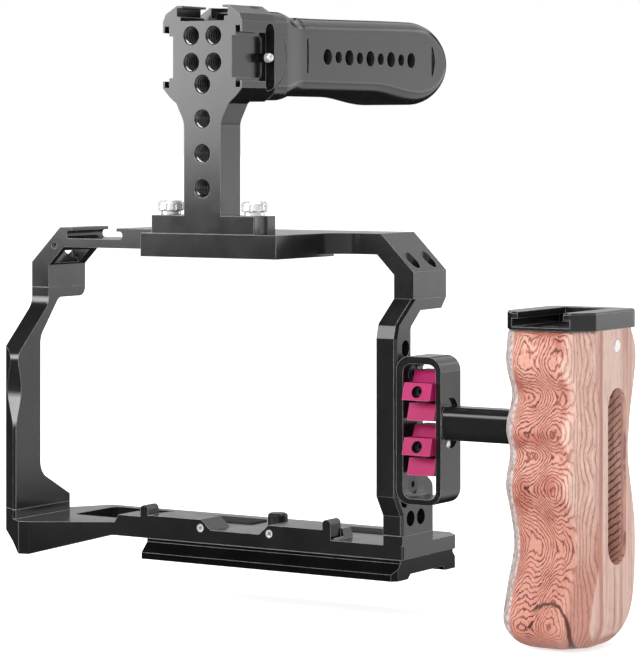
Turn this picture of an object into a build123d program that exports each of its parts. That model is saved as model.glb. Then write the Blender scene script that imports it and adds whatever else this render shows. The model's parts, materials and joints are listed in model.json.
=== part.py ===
from build123d import *
import os
from math import cos, pi, radians, sin

os.makedirs("parts", exist_ok=True)

# Driving dimensions in mm. X runs to the right and Y to the back from the lens axis, and Z up from
# a level just above the ground that the release plate stands on. The files are moved as they are
# written, so that their origin is the mouth of the tripod socket.
inner_left = -84.1
inner_right = 48.6
post_thick = 7.0
ground = -1.25
release_top = 5.0
seat_z = 9.3
foot_seam = 12.3
head_seam = 84.0
shoulder_rise = 13.4
bar_thick = 6.5
bar_under = head_seam + shoulder_rise
bar_top = bar_under + bar_thick
bar_front = -9.5
bar_depth = 20.0
shoulder = 11.6
block_front = -42.5
block_half = 25.05
block_x = 1.85
foot_thick = 5.6
post_rise = 35.0
head_height = 29.4
foot_top = bar_top + foot_thick
head_bottom = foot_top + post_rise
head_top = head_bottom + head_height
head_half = 14.7
head_back = -17.0
grip_end = 88.5
ring_width = 15.6
ring_low = 22.8
ring_high = 67.5
ring_front = -20.0
ring_depth = 12.0
arm_z = 47.5
wood_left = 96.9
wood_width = 29.0
wood_top = 77.5
wood_bottom = -15.2
cap_thick = 5.4
shoe_width = 18.9
shoe_opening = 14.9

# Clearances: a turning or sliding fit all round, and the gap left under a head that turns.
run_fit = 0.05
head_gap = 0.05

# Radii of the standard screws and tapped holes.
m25 = 1.25
m3 = 1.5
m4 = 2.0
m6 = 3.0
quarter_inch = 3.175
quarter_tap = 2.6
three_eighths_tap = 4.1

outer_left = inner_left - post_thick
outer_right = inner_right + post_thick
bar_back = bar_front + bar_depth
left_mid = inner_left - post_thick / 2
right_mid = inner_right + post_thick / 2
wood_right = wood_left + wood_width
wood_mid = wood_left + wood_width / 2
cap_top = wood_top + cap_thick
ring_right = outer_right + ring_width
ring_back = ring_front + ring_depth
ring_mid = ring_front + ring_depth / 2


def outline(points):
    """A closed flat outline. A third value in a point rounds that corner."""
    shape = Polygon(*[(p[0], p[1]) for p in points], align=None)
    for p in points:
        if len(p) > 2:
            corner = shape.vertices().sort_by_distance((p[0], p[1], 0))[0]
            shape = fillet(corner, p[2])
    return shape


def along_x(points, x0, x1):
    return extrude(Plane.YZ.offset(x0) * outline(points), amount=x1 - x0, dir=(1, 0, 0))


def along_y(points, y0, y1):
    return extrude(Plane.XZ.offset(-y0) * outline(points), amount=y1 - y0, dir=(0, 1, 0))


def along_z(points, z0, z1):
    return extrude(Plane.XY.offset(z0) * outline(points), amount=z1 - z0, dir=(0, 0, 1))


def block(x0, x1, y0, y1, z0, z1):
    return Pos((x0 + x1) / 2, (y0 + y1) / 2, (z0 + z1) / 2) * Box(x1 - x0, y1 - y0, z1 - z0)


def rounded(u0, u1, v0, v1, r):
    return [(u0, v0, r), (u1, v0, r), (u1, v1, r), (u0, v1, r)]


def rod_x(y, z, r, x0, x1):
    return Pos((x0 + x1) / 2, y, z) * Rot(0, 90, 0) * Cylinder(r, x1 - x0)


def rod_y(x, z, r, y0, y1):
    return Pos(x, (y0 + y1) / 2, z) * Rot(90, 0, 0) * Cylinder(r, y1 - y0)


def rod_z(x, y, r, z0, z1):
    return Pos(x, y, (z0 + z1) / 2) * Cylinder(r, z1 - z0)


def hex_rod(flats, depth):
    """A hexagonal bar about Z from 0 to depth, given across its flats."""
    return extrude(RegularPolygon(flats / 2 / cos(pi / 6), 6), amount=depth, dir=(0, 0, 1))


def cap_screw(shank_r, head_r, head_h, length, key):
    """A socket head screw about Z: head from 0 up, shank from 0 down."""
    head = rod_z(0, 0, head_r, 0, head_h)
    head = chamfer(head.faces().sort_by(Axis.Z)[-1].edges(), head_h * 0.12)
    shank = rod_z(0, 0, shank_r, -length, 0)
    shank = chamfer(shank.faces().sort_by(Axis.Z)[0].edges(), shank_r * 0.25)
    return head + shank - Pos(0, 0, head_h * 0.4) * hex_rod(key, head_h)


def flat_screw(shank_r, head_r, length, key):
    """A countersunk screw about Z with its flat head at 0 and its shank below."""
    depth = head_r - shank_r
    body = Pos(0, 0, -depth / 2) * Cone(shank_r, head_r, depth)
    body = body + rod_z(0, 0, shank_r, -length, -depth)
    return body - Pos(0, 0, -depth * 0.7) * hex_rod(key, depth)


def flat_sink(shank_r, head_r, length, above):
    """The hole that a flat_screw fills, open above the head."""
    depth = head_r - shank_r
    hole = Pos(0, 0, -depth / 2) * Cone(shank_r, head_r, depth)
    return hole + rod_z(0, 0, shank_r, -length, -depth) + rod_z(0, 0, head_r, 0, above)


def grub_screw(r, length, key):
    """A headless screw about Z from 0 down, with its socket at the top."""
    body = rod_z(0, 0, r, -length, 0)
    body = chamfer(body.faces().sort_by(Axis.Z)[0].edges(), r * 0.25)
    return body - Pos(0, 0, -length * 0.4) * hex_rod(key, length)


def save(shape, name):
    """Write one node. A list holds the loose pieces of one set, such as screws."""
    shift = Pos(-tripod_x, 0, -ground)
    if isinstance(shape, list):
        shape = Compound(children=[shift * piece for piece in shape])
    else:
        shape = shift * shape
    export_step(shape, "parts/" + name + ".step")


# Base plate: a slotted floor with a low front wall, two upright lugs, a pad under each post and
# a wing that slopes down to a support foot under the hand-grip side.
base_front = -16.0
base_back = 20.7
wing_root = inner_left + 30.6
wing_a = (outer_left, base_front - 7.4)
wing_b = (outer_left + 5.7, base_front - 11.0)
wing_c = (inner_left + 4.1, base_front - 15.0)
wing_d = (inner_left + 7.6, base_front - 14.0)
left_foot_back = 2.0
right_foot_back = 2.2
lip_top = seat_z + 3.1
lip_depth = 11.0
lug_top = seat_z + 6.2
lug_depth = 6.0
left_lug = -42.3
right_lug = 26.7
lug_width = 3.0
set_screw_z = seat_z + 0.4
set_screw_x = (-19.0, 7.0)
set_screw_depth = 8.0
set_screw_inset = 0.15

camera_hole = quarter_inch + run_fit
release_bolt_x = (-28.0, 46.0)
release_left = -39.6
release_right = 54.8
release_half = 19.1
release_lip = 2.1
release_neck = 16.0
release_corner = 1.6
channel_depth = 1.4
tripod_x = 22.0
large_tripod_x = 33.5
base_bolts = (
    (left_mid, -20.0, 6.0),
    (left_mid, -4.0, 4.0),
    (right_mid, -12.4, 2.2),
    (right_mid, -0.5, 5.0),
)
bolt_head_r = 2.8
pad_boxes = ((-42.0, -12.0, 3.0, 13.0), (8.0, 38.0, 5.5, 13.0))
pad_sunk = 0.4
pad_proud = 0.4


def make_base():
    plan = [
        (wing_root, base_front, 3.0),
        (outer_right, base_front, 1.0),
        (outer_right, base_back - 4.5),
        (outer_right - 4.5, base_back),
        (outer_left + 11.0, base_back),
        (outer_left, left_foot_back + 2.0),
        wing_a,
        wing_b,
        wing_c,
        wing_d,
    ]
    base = along_z(plan, release_top, seat_z)
    # support foot under the wing, its underside rising back to the plate
    foot_plan = [wing_a, wing_b, wing_c, wing_d, (wing_root, base_front)]
    foot = along_z(foot_plan, ground, release_top)
    along = Vector(wing_root - wing_a[0], base_front - wing_a[1], 0).normalized()
    outward = Vector(along.Y, -along.X, 0)
    reach = (Vector(wing_d[0], wing_d[1], 0) - Vector(wing_a[0], wing_a[1], 0)).dot(outward)
    end = Vector(wing_root, base_front, 0) + along * 10
    side = Plane(origin=end, x_dir=outward, z_dir=along * -1)
    rise = release_top - ground
    top = ground + rise * (1 + 4 / reach)
    slope = [(-4, top), (reach, ground), (reach, ground - 2), (-4, ground - 2)]
    foot = foot - extrude(side * outline(slope), amount=80, dir=along * -1)
    base = base + foot
    # pads that carry the posts
    left_pad = [
        wing_a,
        wing_b,
        (inner_left, wing_b[1]),
        (inner_left, left_foot_back),
        (outer_left, left_foot_back),
    ]
    base = base + along_z(left_pad, seat_z, foot_seam)
    base = base + block(inner_right, outer_right, base_front, right_foot_back, seat_z, foot_seam)
    # front wall: two lips with a low middle, and a rounded lug on each
    lip_back = base_front + lip_depth
    left_lip = [
        (wing_root + 1.0, seat_z),
        (wing_root + 2.5, lip_top - 0.6),
        (left_lug, lip_top - 0.6),
        (left_lug + 4.0, lip_top),
        (-18.7, lip_top),
        (-18.7 + 1.2 * (lip_top - seat_z), seat_z),
    ]
    right_lip = [
        (3.2, seat_z),
        (6.9, lip_top),
        (right_lug + 3.6, lip_top),
        (right_lug + 4.4, seat_z),
    ]
    base = base + along_y(left_lip, base_front, lip_back) + along_y(right_lip, base_front, lip_back)
    for x in (left_lug, right_lug):
        lug = [(x, seat_z), (x + lug_width, seat_z), (x + lug_width, lug_top, 1.4), (x, lug_top, 1.4)]
        base = base + along_y(lug, base_front, base_front + lug_depth)
    # relief notch beside the right lug
    notch_x = right_lug + lug_width
    base = base - block(notch_x, notch_x + 1.2, base_front - 1, base_front + lug_depth, seat_z, lug_top)
    # opening for the battery door
    door = rounded(inner_left + 8.0, inner_left + 33.0, base_front + 9.0, base_back - 3.5, 3.0)
    base = base - along_z(door, ground - 1, lug_top)
    for x0, x1, y0, y1 in pad_boxes:
        base = base - along_z(rounded(x0, x1, y0, y1, 1.5), seat_z - pad_sunk, lug_top)
    base = base - rod_z(0, 0, camera_hole, 0, lug_top)
    for x in release_bolt_x:
        base = base - rod_z(x, 0, m4, 0, seat_z - 0.7)
    base = base - rod_z(tripod_x, 0, quarter_inch + 0.3, 0, seat_z - 1.0)
    base = base - rod_z(large_tripod_x, 0, three_eighths_tap + 0.9, 0, seat_z - 1.0)
    for x, y, depth in base_bolts:
        sink = Rot(180, 0, 0) * flat_sink(m3, bolt_head_r, 20, 20)
        base = base - Pos(x, y, release_top) * sink
    for x in set_screw_x:
        base = base - rod_y(x, set_screw_z, m25, base_front - 1, base_front + set_screw_depth)
    return base


def make_base_screws():
    screws = []
    for x, y, depth in base_bolts:
        length = foot_seam - release_top + depth
        screws.append(Pos(x, y, release_top) * Rot(180, 0, 0) * flat_screw(m3, bolt_head_r, length, 2.0))
    return screws


def make_set_screws():
    length = set_screw_depth - set_screw_inset
    start = base_front + set_screw_inset
    screw = Rot(90, 0, 0) * grub_screw(m25, length, 1.3)
    return [Pos(x, start, set_screw_z) * screw for x in set_screw_x]


def make_pads():
    return [
        along_z(rounded(x0, x1, y0, y1, 1.5), seat_z - pad_sunk, seat_z + pad_proud)
        for x0, x1, y0, y1 in pad_boxes
    ]


# Quick-release plate: a dovetail bar with a shallow channel below, a 1/4 in and a 3/8 in socket,
# and an opening that lets a coin reach the camera screw.
access_r = 7.6


def make_release_plate():
    lip = ground + release_lip
    slope_top = lip + release_half - release_neck
    section = [
        (-release_half, ground),
        (release_half, ground),
        (release_half, lip),
        (release_neck, slope_top),
        (release_neck, release_top),
        (-release_neck, release_top),
        (-release_neck, slope_top),
        (-release_half, lip),
    ]
    plate = along_x(section, release_left, release_right)
    plan = [
        (release_left, -release_half),
        (release_right - release_corner, -release_half),
        (release_right, -release_half + release_corner),
        (release_right, release_half - release_corner),
        (release_right - release_corner, release_half),
        (release_left, release_half),
    ]
    plate = plate & along_z(plan, ground, release_top)
    channel_top = ground + channel_depth
    channel = [(-11.5, ground), (11.5, ground), (10.0, channel_top), (-10.0, channel_top)]
    plate = plate - along_x(channel, release_left - 1, tripod_x - 9.0)
    plate = plate - along_x(channel, large_tripod_x + 8.0, release_right + 1)
    plate = plate - rod_z(0, 0, access_r, ground, release_top)
    plate = plate - rod_z(tripod_x, 0, quarter_tap, ground, release_top)
    plate = plate - rod_z(large_tripod_x, 0, three_eighths_tap, ground, release_top)
    for x in release_bolt_x:
        sink = Rot(180, 0, 0) * flat_sink(m4, m4 + 1.7, 20, 20)
        plate = plate - Pos(x, 0, channel_top) * sink
    return plate


def make_release_screws():
    low = ground + channel_depth
    screw = Rot(180, 0, 0) * flat_screw(m4, m4 + 1.7, seat_z - 1.0 - low, m4 * 1.25)
    return [Pos(x, 0, low) * screw for x in release_bolt_x]


def make_camera_screw():
    head_r = access_r - 1.0
    bottom = ground + channel_depth + 0.4
    top = release_top - head_gap
    head = rod_z(0, 0, head_r, bottom, top)
    head = chamfer(head.faces().sort_by(Axis.Z)[0].edges(), 0.4)
    shank = rod_z(0, 0, quarter_inch, top, seat_z + 4.8)
    shank = chamfer(shank.faces().sort_by(Axis.Z)[-1].edges(), 0.6)
    screw = head + shank
    screw = screw - block(-head_r - 1, head_r + 1, -0.8, 0.8, bottom - 1, bottom + 1.2)
    return screw - Pos(0, 0, bottom - 1) * hex_rod(4.0, 3.4)


# Posts: flat plates, each cut to its own side outline.
post_front = -20.0
post_back = -11.3
strap_slot_y = -14.4
right_side_holes = (
    (-11.3, foot_seam + 5.0, 2.45),
    (-5.1, foot_seam + 5.0, 2.45),
    (-14.9, foot_seam + 10.8, 2.2),
)
top_bolt_y = (-4.5, 5.5)
top_bolt_reach = 3.0
arm_bolt_z = (arm_z - 19.3, arm_z + 14.3)


def make_right_post():
    side = [
        (bar_front, head_seam),
        (-18.8, head_seam - 7.2, 2.0),
        (post_front, head_seam - 11.5),
        (post_front, foot_seam + 12.2),
        (base_front, foot_seam + 6.0),
        (base_front, foot_seam),
        (right_foot_back, foot_seam),
        (right_foot_back, foot_seam + 14.7, 3.0),
        (post_back, foot_seam + 23.7, 4.0),
        (post_back, head_seam - 8.4, 2.0),
        (-5.3, head_seam - 3.5),
        (bar_back - 3.0, head_seam - 3.4),
        (bar_back, head_seam),
    ]
    post = along_x(side, inner_right, outer_right)
    outer = post.faces().sort_by(Axis.X)[-1].edges().filter_by(lambda e: e.center().Y < post_front + 5)
    post = chamfer(outer.filter_by(lambda e: foot_seam + 1 < e.center().Z < head_seam - 1), 0.9)
    slot_z = head_seam - 14.7
    slot = rounded(strap_slot_y - 2.3, strap_slot_y + 2.3, slot_z - 2.5, slot_z + 2.5, 2.25)
    post = post - along_x(slot, inner_right - 1, outer_right + 1)
    for y, z, r in right_side_holes:
        post = post - rod_x(y, z, r, inner_right - 1, outer_right + 1)
    for x, y, depth in base_bolts[2:]:
        post = post - rod_z(x, y, m3, foot_seam, foot_seam + depth)
    for y in top_bolt_y:
        post = post - rod_z(right_mid, y, m25, head_seam - top_bolt_reach, head_seam)
    for z in arm_bolt_z:
        post = post - rod_x(ring_mid, z, m3, outer_right - 5.0, outer_right)
    return post


def make_left_post():
    front = base_front - 11.0
    side = [
        (bar_front, head_seam),
        (bar_front, head_seam - 5.5, 6.0),
        (front + 0.7, head_seam - 21.6, 5.0),
        (front + 3.3, head_seam - 33.0, 15.0),
        (front, head_seam - 44.0, 15.0),
        (front, foot_seam),
        (left_foot_back, foot_seam),
        (left_foot_back, foot_seam + 2.5),
        (-14.0, foot_seam + 11.0, 6.0),
        (-14.0, head_seam - 16.0, 6.0),
        (-4.0, head_seam - 3.5, 3.0),
        (bar_back, head_seam - 3.5, 3.0),
        (bar_back, head_seam),
    ]
    post = along_x(side, outer_left, inner_left)
    bevel = [
        (outer_left - 1, front - 1),
        (wing_b[0], front - 1),
        (wing_b[0], front),
        (outer_left, wing_a[1]),
        (outer_left - 1, wing_a[1]),
    ]
    post = post - along_z(bevel, foot_seam, head_seam)
    for x, y, depth in base_bolts[:2]:
        post = post - rod_z(x, y, m3, foot_seam, foot_seam + depth)
    for y in top_bolt_y:
        post = post - rod_z(left_mid, y, m25, head_seam - top_bolt_reach, head_seam)
    return post


# Top frame: a bar with 45 degree shoulders, a T-slot on its left and a block for the handle.
fillet_r = 9.5
counter_r = 2.5
counter_z = head_seam + 5.5
accessory_mid = -65.5
accessory_half = 11.3
accessory_lip = 8.95
block_left = block_x - block_half
block_right = block_x + block_half
foot_half = 19.2
foot_depth = 11.5
foot_screw_x = 15.5
foot_screw_y = block_front + 5.5
dowel_x = 9.5
dowel_r = 1.5
shoulder_screw_x = outer_left + 9.3
shoulder_screw_z = bar_under + 0.6
shoulder_screw_r = 1.25
window_front = 2.4
window_back = 4.2
window_height = 6.0


def make_top_frame():
    arch = [
        (outer_right, head_seam),
        (outer_right, bar_top - shoulder),
        (outer_right - shoulder, bar_top),
        (outer_left + shoulder, bar_top),
        (outer_left, bar_top - shoulder),
        (outer_left, head_seam),
        (inner_left, head_seam),
        (inner_left, bar_under - 6.1),
        (inner_left + 6.1, bar_under),
        (inner_right - 6.1, bar_under),
        (inner_right, bar_under - 6.1),
        (inner_right, head_seam),
    ]
    frame = along_y(arch, bar_front, bar_back)
    # block that carries the handle, swept into the bar on both sides
    web_front = bar_front - fillet_r
    frame = frame + block(block_left, block_right, block_front, bar_front, bar_under - 0.8, bar_top)
    web = block(block_left - fillet_r, block_right + fillet_r, web_front, bar_front, bar_under, bar_top)
    for x in (block_left - fillet_r, block_right + fillet_r):
        web = web - rod_z(x, web_front, fillet_r, bar_under - 1, bar_top + 1)
    frame = frame + web
    # underside hollow for the finder hump
    hump = rounded(block_x - 17.0, block_x + 17.0, block_front + 8.0, bar_back - 6.0, 4.0)
    frame = frame - along_z(hump, bar_under - 2, bar_under + 1.2)
    # accessory T-slot along the left of the bar
    under = accessory_mid - accessory_half
    slot = [
        (under, bar_top - 3.6, 1.1),
        (under + 2 * accessory_half, bar_top - 3.6, 1.1),
        (under + 2 * accessory_half, bar_top - 1.1, 1.1),
        (under, bar_top - 1.1, 1.1),
    ]
    frame = frame - along_y(slot, bar_front - 1, bar_back + 1)
    lips = (accessory_mid - accessory_lip, accessory_mid + accessory_lip)
    frame = frame - block(lips[0], lips[1], bar_front - 1, bar_back + 1, bar_top - 2.0, bar_top + 1)
    # strap window through the left shoulder, and a small screw in front of it
    y0 = bar_front + window_front
    y1 = bar_back - window_back
    window = Box(window_height, y1 - y0, bar_depth)
    middle = Pos(inner_left + 2.6, (y0 + y1) / 2, bar_under - 3.2)
    frame = frame - middle * Rot(0, -45, 0) * window
    frame = frame - rod_y(shoulder_screw_x, shoulder_screw_z, shoulder_screw_r, bar_front - 1, y0)
    # counterbores on the shoulders
    for x in (left_mid, right_mid):
        for y in top_bolt_y:
            frame = frame - rod_z(x, y, counter_r, counter_z, bar_top + 5)
            frame = frame - rod_z(x, y, m25, head_seam, counter_z)
    for x in (-foot_screw_x, foot_screw_x):
        frame = frame - rod_z(x, foot_screw_y, m4 + run_fit, bar_under - 2, bar_top)
    for x in (-dowel_x, dowel_x):
        frame = frame - rod_z(x, foot_screw_y, dowel_r, bar_top - 4.0, bar_top)
    return frame


def make_top_screws():
    screws = []
    length = counter_z - head_seam + top_bolt_reach
    for x in (left_mid, right_mid):
        for y in top_bolt_y:
            screw = cap_screw(m25, counter_r - 0.15, m25 * 2, length, m25 * 1.6)
            screws.append(Pos(x, y, counter_z) * screw)
    return screws


def make_shoulder_screw():
    screw = Rot(90, 0, 0) * grub_screw(shoulder_screw_r, window_front - 0.3, shoulder_screw_r)
    return Pos(shoulder_screw_x, bar_front + 0.3, shoulder_screw_z) * screw


# Handle head: foot, slim post and a head with a T-slot on each side and on top.
post_half = 6.8
head_post_depth = 10.8
shoe_z = head_top - 15.75
shoe_end = head_back - 10.4
shoe_depth = 2.4
shoe_lip = 0.7
relief_half = 6.45
relief_depth = 1.4
relief_end = head_back - 9.8
top_depth = shoe_depth + 1.0
top_relief_half = 8.1
top_relief_end = head_back - 0.8
window_rise = 0.95
cross_slot_y = shoe_end + 0.4
groove_half = 2.55
groove_length = 10.3
groove_drop = 0.9
crown_back = head_back - 6.6
boss_r = 10.4
rim_r = 9.9
rim_width = 0.35
neck_top = head_top - 1.4
grip_edge = 4.6
tapped_holes = (
    (-4.1, head_top - 9.3),
    (4.1, head_top - 9.3),
    (-4.1, head_top - 17.5),
    (4.1, head_top - 17.5),
    (0, head_top - 24.2),
    (0, head_top - 34.8),
    (0, head_top - 45.4),
    (0, head_top - 56.0),
)
tenon_half = 6.0
tenon_low = shoe_z - 6.5
tenon_high = shoe_z + 6.5
tenon_length = 7.0
tenon_screw_x = 3.2
plunger_r = 1.45
plunger_root = head_half - shoe_depth - groove_drop - 3.0
plunger_tip = head_half - 0.4
plunger_z = shoe_z - 0.2
plunger_travel = 0.8


def shoe_layer(half, height, back):
    """One layer of a T-slot that runs in from the front."""
    front = block_front - 1
    return block(front, back, -half, half, 0, height)


def shoe_cut(half, floor_depth, pocket_half, pocket_end):
    """A T-slot with its floor at 0: local x runs back and local z out of the face."""
    under = shoe_layer(half, floor_depth - shoe_lip, cross_slot_y)
    lips = shoe_layer(shoe_opening / 2, floor_depth + 3, cross_slot_y)
    pocket = [
        (block_front - 1, -pocket_half),
        (pocket_end, -pocket_half, 1.5),
        (pocket_end, pocket_half, 1.5),
        (block_front - 1, pocket_half),
    ]
    relief = extrude(Plane.XY.offset(-relief_depth) * outline(pocket), amount=floor_depth, dir=(0, 0, 1))
    return under + lips + relief


def make_head():
    y0 = block_front
    post_back_y = block_front + head_post_depth
    head = block(-foot_half, foot_half, y0, y0 + foot_depth, bar_top, foot_top)
    for side in (-1, 1):
        scoop = Pos(side * (foot_half + 9.2), y0 + 3.3, 0) * rod_z(0, 0, 10.0, bar_top, foot_top)
        head = head - scoop
    column = [
        (-post_half, foot_top - 1),
        (post_half, foot_top - 1),
        (post_half, head_bottom - 6.4, 6.0),
        (9.6, head_bottom - 0.7),
        (12.4, head_bottom + 1.6),
        (head_half, head_bottom + 4.1),
        (-head_half, head_bottom + 4.1),
        (-12.4, head_bottom + 1.6),
        (-9.6, head_bottom - 0.7),
        (-post_half, head_bottom - 6.4, 6.0),
    ]
    head = head + along_y(column, y0, post_back_y)
    crown = [
        (-10.4, head_bottom),
        (10.4, head_bottom),
        (12.4, head_bottom + 1.6),
        (head_half, head_bottom + 4.1),
        (head_half, head_top - 4.9),
        (head_half - 1.1, head_top - 2.5),
        (9.5, head_top),
        (-9.5, head_top),
        (-head_half + 1.1, head_top - 2.5),
        (-head_half, head_top - 4.9),
        (-head_half, head_bottom + 4.1),
        (-12.4, head_bottom + 1.6),
    ]
    head = head + along_y(crown, y0, crown_back)
    # behind the crown the head takes the grip's section, and a round boss backs the top slot
    neck = rounded(-head_half, head_half, head_bottom + 0.5, neck_top, grip_edge)
    head = head + along_y(neck, crown_back, head_back)
    boss = Pos(0, shoe_end, 0) * rod_z(0, 0, boss_r, shoe_z, head_top)
    head = head + (boss & block(-head_half, head_half, y0, head_back, shoe_z, head_top))
    # T-slots: right, left and top
    cut = shoe_cut(shoe_width / 2, shoe_depth, relief_half, relief_end)
    right = Plane(origin=(head_half - shoe_depth, 0, shoe_z), x_dir=(0, 1, 0), z_dir=(1, 0, 0))
    left = Plane(origin=(-head_half + shoe_depth, 0, shoe_z), x_dir=(0, 1, 0), z_dir=(-1, 0, 0))
    top = Plane(origin=(0, 0, head_top - top_depth), x_dir=(0, 1, 0), z_dir=(0, 0, 1))
    head = head - right * cut - left * cut
    head = head - top * shoe_cut(shoe_width / 2, top_depth, top_relief_half, top_relief_end)
    # the top slot ends in an open arc, with a low window through its left wall
    arc = Pos(0, shoe_end, 0) * rod_z(0, 0, shoe_width / 2, head_top - top_depth, head_top + 1)
    head = head - (arc & block(-head_half, head_half, cross_slot_y, head_back, shoe_z, head_top + 1))
    window_low = head_top - top_depth - relief_depth
    window_high = window_low + window_rise
    groove_front = cross_slot_y - groove_half
    groove_back = cross_slot_y + groove_half
    head = head - block(-head_half - 1, 0, groove_front, top_relief_end, window_low, window_high)
    head = head - block(-head_half - 1, 0, groove_front, groove_back, window_low, head_top + 1)
    # cross grooves behind the side slots
    groove = rounded(groove_front, groove_back, -groove_length, groove_length, groove_half - 0.1)
    for plane in (right, left):
        deep = plane.offset(-groove_drop)
        reach = shoe_depth + groove_drop + 1
        head = head - extrude(deep * outline(groove), amount=reach, dir=plane.z_dir)
        rim = Pos(shoe_end, 0) * (Circle(rim_r) - Circle(rim_r - rim_width))
        rim = rim & Pos(groove_back + rim_r, 0) * Rectangle(2 * rim_r, 2 * rim_r)
        surface = plane.offset(shoe_depth - rim_width)
        head = head - extrude(surface * rim, amount=1, dir=plane.z_dir)
    for x, z in tapped_holes:
        depth = head_post_depth + 1
        if z > head_bottom + 2:
            depth = 15.0
        head = head - rod_y(x, z, quarter_tap, y0 - 1, y0 + depth)
        ring = Pos(x, y0 + 0.2, z) * Rot(90, 0, 0) * Cone(quarter_tap, quarter_tap + 0.4, 0.4)
        head = head - ring
    for x in (-foot_screw_x, foot_screw_x):
        head = head - rod_z(x, foot_screw_y, m4 + run_fit, bar_top, foot_top)
    for x in (-dowel_x, dowel_x):
        head = head - rod_z(x, foot_screw_y, dowel_r, bar_top, bar_top + 3.5)
    # socket for the grip's tenon and its two locking screws
    tenon_front = head_back - tenon_length
    head = head - block(-tenon_half, tenon_half, tenon_front, head_back, tenon_low, tenon_high)
    for x in (-tenon_screw_x, tenon_screw_x):
        head = head - rod_z(x, head_back - tenon_length / 2, m4 - 0.5, head_bottom, tenon_low + 1)
    # bore of the spring plunger
    bore_end = plunger_root - plunger_travel - 0.4
    head = head - rod_x(cross_slot_y, plunger_z, plunger_r + run_fit, bore_end, head_half - 1)
    return head


def make_tenon_screws():
    length = tenon_low + 1.0 - head_bottom - 0.5
    return [
        Pos(x, head_back - tenon_length / 2, head_bottom + 0.5)
        * Rot(180, 0, 0)
        * grub_screw(m4 - 0.5, length, 1.6)
        for x in (-tenon_screw_x, tenon_screw_x)
    ]


def make_plunger():
    pin = rod_x(cross_slot_y, plunger_z, plunger_r, plunger_root, plunger_tip)
    return pin + Pos(plunger_tip, cross_slot_y, plunger_z) * Sphere(plunger_r)


# Handle grip: a flat-sided bar with rounded edges, a swollen underside and a half-round end,
# lightened by a row of holes.
grip_half = 13.0
grip_low = head_bottom + 2.3
grip_high = head_top - 2.7
neck_end = head_back + 13.0
tail_y = grip_end - 22.0
tail_low = head_bottom - 0.1
tail_high = head_top - 1.8
swell_start = tail_y - 28.0
hole_z = head_top - 14.8
hole_pitch = 13.1
first_hole = 9.2
big_hole_r = 2.6
small_hole_r = 2.0
slit_y = -2.6
recess_y = grip_end - 11.0
lens_rise = 2.4
lens_r = 8.2


def grip_section(y, half, low, high, r):
    sketch = outline(rounded(-half, half, low, high, r))
    return Plane.XZ.offset(-y) * sketch


def make_grip():
    neck = loft(
        [
            grip_section(head_back, grip_half + 1.1, head_bottom + 0.5, neck_top, grip_edge),
            grip_section(head_back + 3.5, grip_half + 0.8, head_bottom + 0.9, neck_top - 0.3, grip_edge),
            grip_section(head_back + 8.5, grip_half + 0.2, grip_low - 0.3, grip_high - 0.1, grip_edge),
            grip_section(neck_end, grip_half, grip_low, grip_high, grip_edge),
        ]
    )
    # side outline of the bar behind the neck
    middle = (tail_low + tail_high) / 2
    high = (tail_high - tail_low) / 2
    end = EllipticalCenterArc((tail_y, middle), grip_end - tail_y, high, start_angle=-90, arc_size=180)
    crown = Spline((tail_y, tail_high), (neck_end, grip_high), tangents=((-1, 0), (-1, 0)))
    front = Line((neck_end, grip_high), (neck_end, grip_low))
    under = Line((neck_end, grip_low), (swell_start, grip_low))
    swell = Spline((swell_start, grip_low), (tail_y, tail_low), tangents=((1, 0), (1, 0)))
    side = Plane.YZ.offset(-grip_half) * make_face([end, crown, front, under, swell])
    bar = extrude(side, amount=2 * grip_half, dir=(1, 0, 0))
    long_edges = bar.edges().filter_by(lambda e: abs(abs(e.center().X) - grip_half) < 0.01)
    long_edges = long_edges.filter_by(lambda e: e.center().Y > neck_end + 0.1)
    grip = neck + fillet(long_edges, grip_edge)
    for i in range(9):
        r = big_hole_r if i % 2 == 0 else small_hole_r
        grip = grip - rod_x(first_hole + i * hole_pitch / 2, hole_z, r, -grip_half - 2, grip_half + 2)
    for side in (-1, 1):
        face = side * grip_half
        slit = rounded(slit_y - 0.5, slit_y + 0.5, hole_z - 5.6, hole_z + 5.6, 0.45)
        grip = grip - along_x(slit, face - 0.8, face + 0.8)
        lens = Pos(recess_y - lens_rise / 2, hole_z) * Rectangle(lens_rise, 10.0)
        lens = lens & Pos(recess_y - lens_r, hole_z) * Circle(lens_r)
        grip = grip - extrude(Plane.YZ.offset(face - 0.8) * lens, amount=1.6, dir=(1, 0, 0))
    tenon_front = head_back - tenon_length
    grip = grip + block(-tenon_half, tenon_half, tenon_front, head_back + 3, tenon_low, tenon_high)
    for x in (-tenon_screw_x, tenon_screw_x):
        grip = grip - rod_z(x, head_back - tenon_length / 2, m4 - 0.5, tenon_low - 1, tenon_low + 1)
    return grip


def make_foot_screw(side):
    x = side * foot_screw_x
    z0 = foot_top + head_gap
    head = rod_z(0, 0, 4.0, z0 + 1.2, z0 + 4.4)
    head = chamfer(head.faces().sort_by(Axis.Z)[-1].edges(), 0.7)
    head = chamfer(head.faces().sort_by(Axis.Z)[0].edges(), 0.4)
    collar = rod_z(0, 0, 3.1, z0, z0 + 1.3)
    for i in range(10):
        angle = radians(36 * i)
        head = head - rod_z(4.2 * cos(angle), 4.2 * sin(angle), 0.55, z0, z0 + 3.3)
    shank = rod_z(0, 0, m4, bar_under + 0.5, z0)
    screw = head + collar + shank - Pos(0, 0, z0 + 2.4) * hex_rod(m4 * 1.5, 4)
    return Pos(x, foot_screw_y, 0) * screw


def make_dowels():
    return [rod_z(x, foot_screw_y, dowel_r, bar_top - 4.0, bar_top + 3.5) for x in (-dowel_x, dowel_x)]


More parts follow.
